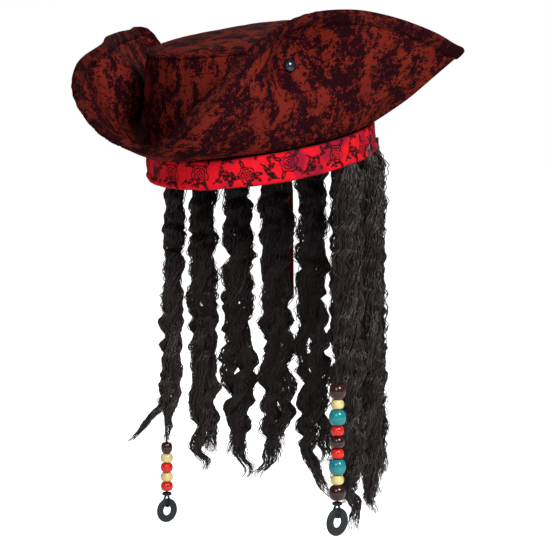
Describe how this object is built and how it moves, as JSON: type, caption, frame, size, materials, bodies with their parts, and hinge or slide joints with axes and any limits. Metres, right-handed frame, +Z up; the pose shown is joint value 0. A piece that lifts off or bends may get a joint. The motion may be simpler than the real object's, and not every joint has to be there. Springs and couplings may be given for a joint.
{
  "type": "pirate hat with hair and beads",
  "caption": "Soft three-cornered pirate hat with pinned flaps, printed bandana band, knot and tails, hanging crimped hair locks and bead strands with rings.",
  "frame": {"origin": "centre of the head opening in the plane where the brim meets the crown", "axes": "+Z up with the hair hanging plumb, -Y towards the front of the hat, +X towards the wearer's left"},
  "size_m": [0.3217, 0.2689, 0.4246],
  "materials": {
    "cloth": "brushed napped finish, rust red with dark blotches",
    "binding": "folded self-cloth edge with two rows of topstitching",
    "sweatband": "plain woven tape",
    "bandana": "printed plain-weave cotton",
    "hair": "crimped synthetic fibre with a dull shine",
    "tape": "plain woven tape",
    "stud": "glossy domed cap",
    "steel": "plain",
    "cord": "waxed cord",
    "ring": "slate",
    "bead_brown": "glossy",
    "bead_cream": "glossy",
    "bead_red": "glossy",
    "bead_turquoise": "glossy"
  },
  "bodies": {
    "hat": {"crown_side_panel": "cloth", "crown_top_panel": "cloth", "sweatband": "sweatband", "brim": "cloth", "brim_binding": "binding", "stud_cap_left": "stud", "stud_washer_left": "steel", "stud_cap_right": "stud", "stud_washer_right": "steel", "stud_cap_rear": "stud", "stud_washer_rear": "steel", "bandana_band": "bandana", "bandana_knot": "bandana", "hair_weft": "tape"},
    "lock_right_1": {"hair_lock_right_1": "hair"},
    "lock_right_2": {"hair_lock_right_2": "hair"},
    "lock_right_3": {"hair_lock_right_3": "hair"},
    "lock_right_4": {"hair_lock_right_4": "hair"},
    "lock_right_5": {"hair_lock_right_5": "hair"},
    "lock_left_1": {"hair_lock_left_1": "hair"},
    "lock_left_2": {"hair_lock_left_2": "hair"},
    "lock_left_3": {"hair_lock_left_3": "hair"},
    "lock_left_4": {"hair_lock_left_4": "hair"},
    "lock_left_5": {"hair_lock_left_5": "hair"},
    "tail_long": {"bandana_tail_long": "bandana"},
    "tail_short": {"bandana_tail_short": "bandana"},
    "strand_right": {"bead_cord_right": "cord", "cord_knot_right": "cord"},
    "bead_right_1": {"bead_right_1": "bead_brown"},
    "bead_right_2": {"bead_right_2": "bead_cream"},
    "bead_right_3": {"bead_right_3": "bead_red"},
    "bead_right_4": {"bead_right_4": "bead_cream"},
    "bead_right_5": {"bead_right_5": "bead_red"},
    "ring_right": {"ring_right": "ring"},
    "strand_left": {"bead_cord_left": "cord", "cord_knot_left": "cord"},
    "bead_left_1": {"bead_left_1": "bead_brown"},
    "bead_left_2": {"bead_left_2": "bead_cream"},
    "bead_left_3": {"bead_left_3": "bead_turquoise"},
    "bead_left_4": {"bead_left_4": "bead_red"},
    "bead_left_5": {"bead_left_5": "bead_brown"},
    "bead_left_6": {"bead_left_6": "bead_red"},
    "bead_left_7": {"bead_left_7": "bead_turquoise"},
    "bead_left_8": {"bead_left_8": "bead_cream"},
    "bead_left_9": {"bead_left_9": "bead_brown"},
    "ring_left": {"ring_left": "ring"}
  },
  "joints": [
    {"name": "lock_right_1_swing", "type": "hinge", "parent": "hat", "child": "lock_right_1", "pos_m": [-0.08554, -0.00191, -0.02837], "axis": [-0.0588, 0.9799, 0.1905], "range_deg": [-3, 60]},
    {"name": "lock_right_2_swing", "type": "hinge", "parent": "hat", "child": "lock_right_2", "pos_m": [-0.08211, 0.03384, -0.02142], "axis": [0.2459, 0.9515, 0.185], "range_deg": [-3, 60]},
    {"name": "lock_right_3_swing", "type": "hinge", "parent": "hat", "child": "lock_right_3", "pos_m": [-0.06803, 0.06586, -0.01519], "axis": [0.543, 0.8243, 0.1602], "range_deg": [-3, 60]},
    {"name": "lock_right_4_swing", "type": "hinge", "parent": "hat", "child": "lock_right_4", "pos_m": [-0.04512, 0.08999, -0.0105], "axis": [0.806, 0.581, 0.1129], "range_deg": [-3, 50]},
    {"name": "lock_right_5_swing", "type": "hinge", "parent": "hat", "child": "lock_right_5", "pos_m": [-0.01636, 0.1031, -0.00796], "axis": [0.9744, 0.2206, 0.0429], "range_deg": [-3, 60]},
    {"name": "lock_left_1_swing", "type": "hinge", "parent": "hat", "child": "lock_left_1", "pos_m": [0.08554, -0.00191, -0.02837], "axis": [-0.0588, -0.9799, -0.1905], "range_deg": [-3, 60]},
    {"name": "lock_left_2_swing", "type": "hinge", "parent": "hat", "child": "lock_left_2", "pos_m": [0.08211, 0.03384, -0.02142], "axis": [0.2459, -0.9515, -0.185], "range_deg": [-3, 60]},
    {"name": "lock_left_3_swing", "type": "hinge", "parent": "hat", "child": "lock_left_3", "pos_m": [0.06803, 0.06586, -0.01519], "axis": [0.543, -0.8243, -0.1602], "range_deg": [-3, 60]},
    {"name": "lock_left_4_swing", "type": "hinge", "parent": "hat", "child": "lock_left_4", "pos_m": [0.04512, 0.08999, -0.0105], "axis": [0.806, -0.581, -0.1129], "range_deg": [-3, 60]},
    {"name": "lock_left_5_swing", "type": "hinge", "parent": "hat", "child": "lock_left_5", "pos_m": [0.01636, 0.1031, -0.00796], "axis": [0.9744, -0.2206, -0.0429], "range_deg": [-3, 60]},
    {"name": "tail_long_swing", "type": "hinge", "parent": "hat", "child": "tail_long", "pos_m": [-0.04957, 0.09861, -0.00992], "axis": [0.806, 0.581, 0.1129], "range_deg": [-3.3, 55]},
    {"name": "tail_short_swing", "type": "hinge", "parent": "hat", "child": "tail_short", "pos_m": [-0.04957, 0.09861, -0.00992], "axis": [0.806, 0.581, 0.1129], "range_deg": [-3.3, 55]},
    {"name": "strand_right_swing", "type": "hinge", "parent": "lock_right_1", "child": "strand_right", "pos_m": [-0.09453, -0.00244, -0.25537], "axis": [-0.0588, 0.9983, 0], "range_deg": [-45, 45]},
    {"name": "bead_right_1_spin", "type": "hinge", "parent": "strand_right", "child": "bead_right_1", "pos_m": [-0.09453, -0.00244, -0.26897], "axis": [0, 0, 1], "continuous": true},
    {"name": "bead_right_2_spin", "type": "hinge", "parent": "strand_right", "child": "bead_right_2", "pos_m": [-0.09453, -0.00244, -0.27777], "axis": [0, 0, 1], "continuous": true},
    {"name": "bead_right_3_spin", "type": "hinge", "parent": "strand_right", "child": "bead_right_3", "pos_m": [-0.09453, -0.00244, -0.28587], "axis": [0, 0, 1], "continuous": true},
    {"name": "bead_right_4_spin", "type": "hinge", "parent": "strand_right", "child": "bead_right_4", "pos_m": [-0.09453, -0.00244, -0.29397], "axis": [0, 0, 1], "continuous": true},
    {"name": "bead_right_5_spin", "type": "hinge", "parent": "strand_right", "child": "bead_right_5", "pos_m": [-0.09453, -0.00244, -0.30207], "axis": [0, 0, 1], "continuous": true},
    {"name": "ring_right_swing", "type": "hinge", "parent": "strand_right", "child": "ring_right", "pos_m": [-0.09453, -0.00244, -0.31987], "axis": [0.9613, -0.2756, 0], "range_deg": [-45, 45]},
    {"name": "strand_left_swing", "type": "hinge", "parent": "lock_left_1", "child": "strand_left", "pos_m": [0.08754, -0.02203, -0.18737], "axis": [-0.0588, -0.9983, 0], "range_deg": [-45, 45]},
    {"name": "bead_left_1_spin", "type": "hinge", "parent": "strand_left", "child": "bead_left_1", "pos_m": [0.09053, -0.02521, -0.20237], "axis": [0, 0, 1], "continuous": true},
    {"name": "bead_left_2_spin", "type": "hinge", "parent": "strand_left", "child": "bead_left_2", "pos_m": [0.09053, -0.02521, -0.21257], "axis": [0, 0, 1], "continuous": true},
    {"name": "bead_left_3_spin", "type": "hinge", "parent": "strand_left", "child": "bead_left_3", "pos_m": [0.09053, -0.02521, -0.22297], "axis": [0, 0, 1], "continuous": true},
    {"name": "bead_left_4_spin", "type": "hinge", "parent": "strand_left", "child": "bead_left_4", "pos_m": [0.09053, -0.02521, -0.23347], "axis": [0, 0, 1], "continuous": true},
    {"name": "bead_left_5_spin", "type": "hinge", "parent": "strand_left", "child": "bead_left_5", "pos_m": [0.09053, -0.02521, -0.24247], "axis": [0, 0, 1], "continuous": true},
    {"name": "bead_left_6_spin", "type": "hinge", "parent": "strand_left", "child": "bead_left_6", "pos_m": [0.09053, -0.02521, -0.25147], "axis": [0, 0, 1], "continuous": true},
    {"name": "bead_left_7_spin", "type": "hinge", "parent": "strand_left", "child": "bead_left_7", "pos_m": [0.09053, -0.02521, -0.26197], "axis": [0, 0, 1], "continuous": true},
    {"name": "bead_left_8_spin", "type": "hinge", "parent": "strand_left", "child": "bead_left_8", "pos_m": [0.09053, -0.02521, -0.27237], "axis": [0, 0, 1], "continuous": true},
    {"name": "bead_left_9_spin", "type": "hinge", "parent": "strand_left", "child": "bead_left_9", "pos_m": [0.09053, -0.02521, -0.28257], "axis": [0, 0, 1], "continuous": true},
    {"name": "ring_left_swing", "type": "hinge", "parent": "strand_left", "child": "ring_left", "pos_m": [0.09053, -0.02521, -0.30247], "axis": [0.9703, -0.2419, 0], "range_deg": [-45, 45]}
  ],
  "couplings": [
    {"joint": "tail_long_swing", "follows": "lock_right_4_swing", "ratio": 1.1},
    {"joint": "tail_short_swing", "follows": "lock_right_4_swing", "ratio": 1.1}
  ]
}
